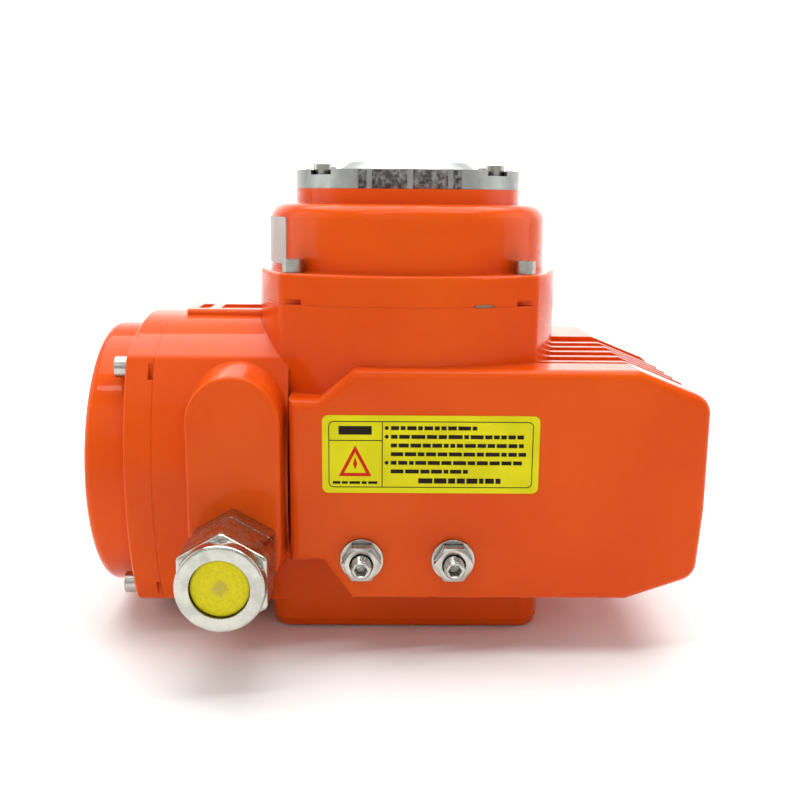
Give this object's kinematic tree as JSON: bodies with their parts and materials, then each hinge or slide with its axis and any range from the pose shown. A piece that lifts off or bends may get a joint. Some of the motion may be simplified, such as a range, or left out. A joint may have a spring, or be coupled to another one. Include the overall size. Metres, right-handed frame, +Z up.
{
  "type": "motorized valve actuator",
  "caption": "Quarter-turn electric valve actuator with worm gearbox, motor and terminal compartments, adjustable travel stops and sight window.",
  "frame": {"origin": "axis of the output shaft where it meets the valve mounting face", "axes": "+Z up along the output shaft away from the valve, +X towards the motor end, -Y towards the side with the label and the stop screws"},
  "size_m": [0.2423, 0.1788, 0.19],
  "materials": {
    "casing_paint": "glossy orange powder coat over cast aluminium",
    "bare_casting": "machined cast aluminium",
    "stainless": "bright stainless steel",
    "nickel": "nickel-plated brass",
    "yellow_plastic": "moulded yellow plastic",
    "black_rubber": "smooth black rubber",
    "window_glass": "clear toughened glass",
    "steel": "ground alloy steel",
    "bronze": "cast bronze",
    "cast_iron": "grey iron, machined faces",
    "zinc_plate": "zinc-plated steel sheet",
    "lamination": "stacked electrical steel",
    "copper": "enamelled copper wire",
    "white_plastic": "white acetal",
    "indicator_plastic": "yellow and black plastic",
    "black_plastic": "black thermoset plastic",
    "spring_steel": "sprung stainless strip",
    "capacitor_case": "white plastic can",
    "label_film": "printed yellow film without wording",
    "sticker_film": "plain white film"
  },
  "bodies": {
    "casing": {"base_bush": "bronze", "blank_sticker": "sticker_film", "blanking_disc": "yellow_plastic", "capacitor": "capacitor_case", "deck_screws": "stainless", "end_cover": "casing_paint", "end_cover_oring": "black_rubber", "end_cover_screws": "stainless", "gear_deck": "cast_iron", "gear_plate": "zinc_plate", "gearbox_housing": "casing_paint", "gland_body": "nickel", "gland_cap": "nickel", "gland_seal": "black_rubber", "intermediate_axle": "steel", "motor_bearings": "steel", "motor_front_bell": "bare_casting", "motor_rear_bell": "bare_casting", "motor_stator": "lamination", "motor_windings": "copper", "rating_label": "label_film", "rear_cover": "casing_paint", "rear_cover_screws": "stainless", "shaft_seal": "black_rubber", "sight_glass": "window_glass", "stop_nuts": "stainless", "stop_washers": "stainless", "switch_bodies": "black_plastic", "switch_bracket": "zinc_plate", "terminal_block": "black_plastic", "terminal_screws": "stainless", "top_cover": "casing_paint", "top_cover_oring": "black_rubber", "top_cover_screws": "stainless", "window_gasket": "black_rubber", "window_ring": "bare_casting", "window_ring_screws": "stainless", "worm_bearings": "steel"},
    "output": {"drive_sleeve": "steel", "stop_sector": "steel", "worm_wheel": "bronze", "wheel_key": "steel", "camshaft": "steel", "cam_open": "white_plastic", "cam_close": "white_plastic", "position_indicator": "indicator_plastic"},
    "worm": {"worm_shaft": "steel", "worm_gear": "steel"},
    "intermediate": {"intermediate_gear": "steel"},
    "rotor": {"motor_rotor": "lamination", "motor_shaft": "steel", "motor_pinion": "steel"},
    "hand_drive": {"hand_shaft": "steel", "hand_gear": "steel"},
    "port_plug": {"hand_port_plug": "black_rubber"},
    "stop_left": {"stop_screw_left": "stainless"},
    "stop_right": {"stop_screw_right": "stainless"},
    "switch_arm_open": {"lever_open": "spring_steel"},
    "switch_arm_close": {"lever_close": "spring_steel"}
  },
  "joints": [
    {"name": "output_turn", "type": "hinge", "parent": "casing", "child": "output", "pos_m": [0, 0, 0], "axis": [0, 0, -1], "range_deg": [0, 90]},
    {"name": "worm_spin", "type": "hinge", "parent": "casing", "child": "worm", "pos_m": [0, 0.045, 0.055], "axis": [-1, 0, 0], "range_deg": [0, 3240]},
    {"name": "intermediate_spin", "type": "hinge", "parent": "casing", "child": "intermediate", "pos_m": [0, 0.02499, 0.06635], "axis": [1, 0, 0], "range_deg": [0, 6075]},
    {"name": "motor_spin", "type": "hinge", "parent": "casing", "child": "rotor", "pos_m": [0, -0.012, 0.067], "axis": [-1, 0, 0], "range_deg": [0, 26036]},
    {"name": "hand_spin", "type": "hinge", "parent": "casing", "child": "hand_drive", "pos_m": [0, 0.052, 0.09164], "axis": [-1, 0, 0], "range_deg": [0, 26036]},
    {"name": "port_plug_pull", "type": "slide", "parent": "casing", "child": "port_plug", "axis": [1, 0, 0], "range_m": [0, 0.012]},
    {"name": "stop_left_adjust", "type": "slide", "parent": "casing", "child": "stop_left", "axis": [0, -1, 0], "range_m": [0, 0.004]},
    {"name": "stop_right_adjust", "type": "slide", "parent": "casing", "child": "stop_right", "axis": [0, -1, 0], "range_m": [0, 0.004]},
    {"name": "lever_open_press", "type": "hinge", "parent": "casing", "child": "switch_arm_open", "pos_m": [0.0206, -0.0115, 0.1193], "axis": [0, 0, -1], "range_deg": [0, 3], "stiffness_Nm_per_rad": 0.02},
    {"name": "lever_close_press", "type": "hinge", "parent": "casing", "child": "switch_arm_close", "pos_m": [0.0206, -0.0115, 0.1308], "axis": [0, 0, -1], "range_deg": [0, 3], "stiffness_Nm_per_rad": 0.02}
  ],
  "couplings": [
    {"joint": "worm_spin", "follows": "output_turn", "ratio": 36},
    {"joint": "intermediate_spin", "follows": "output_turn", "ratio": 67.5},
    {"joint": "motor_spin", "follows": "output_turn", "ratio": 289.29},
    {"joint": "hand_spin", "follows": "output_turn", "ratio": 289.29}
  ]
}
